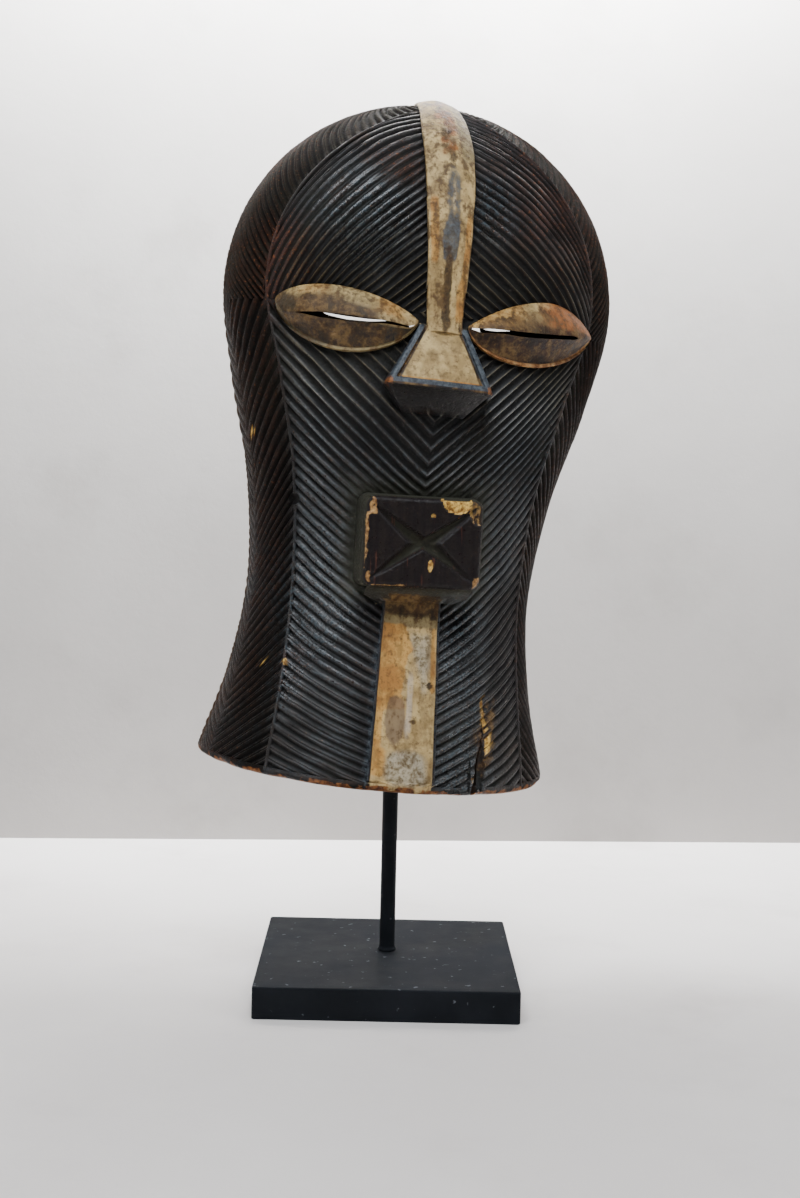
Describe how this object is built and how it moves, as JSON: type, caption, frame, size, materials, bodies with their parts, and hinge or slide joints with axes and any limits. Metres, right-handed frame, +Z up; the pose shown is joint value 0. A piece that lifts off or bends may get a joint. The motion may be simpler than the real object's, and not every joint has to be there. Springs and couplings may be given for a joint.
{
  "type": "carved face mask on a display stand",
  "caption": "Hollow carved wooden face mask with fluted cheeks, slit eyes, a wedge nose and a block mouth, held by a steel rod on a square plate.",
  "frame": {"origin": "middle of the plate's underside", "axes": "+Z up, -Y towards the front of the plate, which the mask faces turned about 11 degrees to its left"},
  "size_m": [0.2153, 0.1365, 0.4616],
  "materials": {
    "mask_wood": "dark, worn and waxed, with pale clay left on the crest, eyes, nose and chin band",
    "rod_black": "satin black",
    "base_black": "satin black"
  },
  "bodies": {
    "root": {"mask": "mask_wood", "stand_rod": "rod_black", "stand_base": "base_black"}
  },
  "joints": []
}
